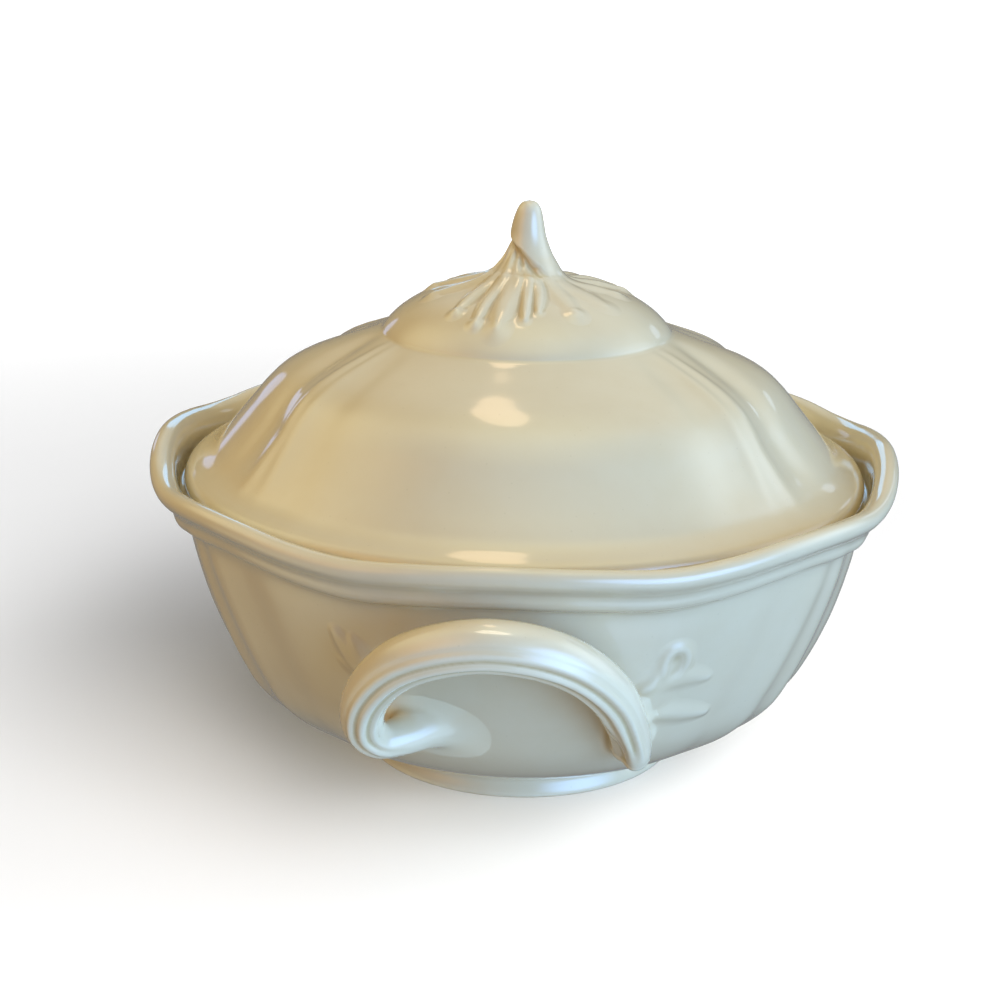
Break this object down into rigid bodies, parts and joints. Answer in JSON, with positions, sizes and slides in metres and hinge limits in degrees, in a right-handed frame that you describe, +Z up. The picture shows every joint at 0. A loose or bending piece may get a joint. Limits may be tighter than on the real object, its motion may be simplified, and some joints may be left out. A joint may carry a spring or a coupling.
{
  "type": "covered vegetable dish",
  "caption": "Deep lobed round serving dish with a rolled wavy lip, branch-shaped loop handles with leaf relief, a foot ring, and a domed lift-off lid with a twig knob.",
  "frame": {"origin": "centre of the foot ring's resting face, on the dish's vertical axis", "axes": "+Z up along the dish's vertical axis, the way the lid lifts; Y runs through both handles, front handle towards -Y; X runs across the dish, clear of the handles"},
  "size_m": [0.2362, 0.265, 0.179],
  "materials": {
    "ivory_glaze": "gloss"
  },
  "bodies": {
    "dish": {"bowl_body": "ivory_glaze", "foot_ring": "ivory_glaze", "front_handle": "ivory_glaze", "rear_handle": "ivory_glaze", "front_leaf_spray": "ivory_glaze", "rear_leaf_spray": "ivory_glaze", "front_leaf_bud": "ivory_glaze", "rear_leaf_bud": "ivory_glaze"},
    "lid": {"lid_shell": "ivory_glaze", "lid_locating_ring": "ivory_glaze", "knob_stem": "ivory_glaze", "knob_leaves": "ivory_glaze"}
  },
  "joints": [
    {"name": "lid_lift", "type": "slide", "parent": "dish", "child": "lid", "axis": [0, 0, 1], "range_m": [0, 0.12]}
  ]
}
